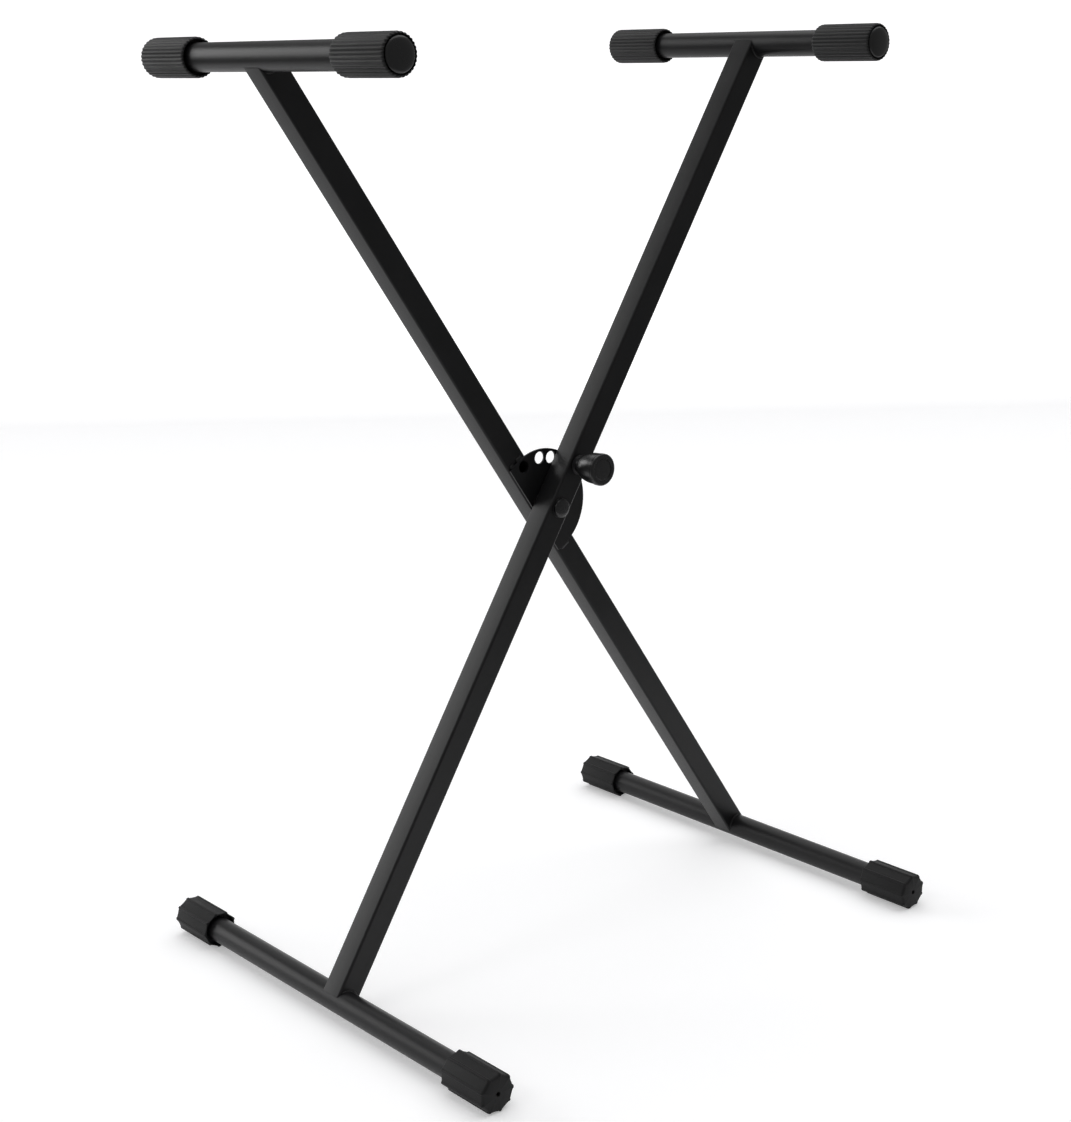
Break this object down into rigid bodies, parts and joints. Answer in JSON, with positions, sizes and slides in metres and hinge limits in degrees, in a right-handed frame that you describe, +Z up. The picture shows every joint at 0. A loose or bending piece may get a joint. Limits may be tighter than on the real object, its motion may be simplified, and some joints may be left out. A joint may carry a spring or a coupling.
{
  "type": "x-style keyboard stand",
  "caption": "Folding X-shaped keyboard stand of square tube with ribbed grips on top, fluted rubber feet, an index disc at the cross and a pull-knob lock.",
  "frame": {"origin": "on the floor under the pivot, at the centre of the footprint", "axes": "+Z up; Y runs along the four cross bars, with the knob and the front leg on the -Y side; the front leg rises towards +X"},
  "size_m": [0.6078, 0.501, 0.8967],
  "materials": {
    "frame_steel": "black satin powder coat",
    "grip_rubber": "matt ribbed rubber",
    "foot_rubber": "matt fluted rubber",
    "black_plastic": "satin moulded plastic",
    "black_steel": "black oxide",
    "zinc_steel": "zinc plated",
    "black_nylon": "plain nylon"
  },
  "bodies": {
    "rear_frame": {"disc_weld_1": "frame_steel", "disc_weld_2": "frame_steel", "disc_weld_3": "frame_steel", "index_disc": "frame_steel", "lower_right_bar": "frame_steel", "lower_right_front_foot": "foot_rubber", "lower_right_rear_foot": "foot_rubber", "pivot_bolt": "zinc_steel", "pivot_cap": "black_plastic", "pivot_front_washer": "black_steel", "pivot_nut": "zinc_steel", "pivot_rear_washer": "black_steel", "rear_leg": "frame_steel", "rear_lower_inner_weld": "frame_steel", "rear_lower_outer_weld": "frame_steel", "rear_pivot_bush": "zinc_steel", "rear_upper_inner_weld": "frame_steel", "rear_upper_outer_weld": "frame_steel", "upper_left_bar": "frame_steel", "upper_left_front_grip": "grip_rubber", "upper_left_front_plug": "black_plastic", "upper_left_rear_grip": "grip_rubber", "upper_left_rear_plug": "black_plastic"},
    "front_frame": {"front_leg": "frame_steel", "front_lower_inner_weld": "frame_steel", "front_lower_outer_weld": "frame_steel", "front_pivot_bush": "zinc_steel", "front_upper_inner_weld": "frame_steel", "front_upper_outer_weld": "frame_steel", "lock_barrel": "black_steel", "lock_spring": "zinc_steel", "lower_left_bar": "frame_steel", "lower_left_front_foot": "foot_rubber", "lower_left_rear_foot": "foot_rubber", "pivot_thrust_washer": "black_nylon", "upper_right_bar": "frame_steel", "upper_right_front_grip": "grip_rubber", "upper_right_front_plug": "black_plastic", "upper_right_rear_grip": "grip_rubber", "upper_right_rear_plug": "black_plastic"},
    "pull_pin": {"lock_pin": "zinc_steel", "lock_knob": "black_plastic", "lock_knob_cap": "black_plastic"}
  },
  "joints": [
    {"name": "fold", "type": "hinge", "parent": "rear_frame", "child": "front_frame", "pos_m": [0, 0, 0.44872], "axis": [0, 1, 0], "range_deg": [-62.5, 36]},
    {"name": "pin_pull", "type": "slide", "parent": "front_frame", "child": "pull_pin", "axis": [0, -1, 0], "range_m": [-0.0045, 0]}
  ]
}
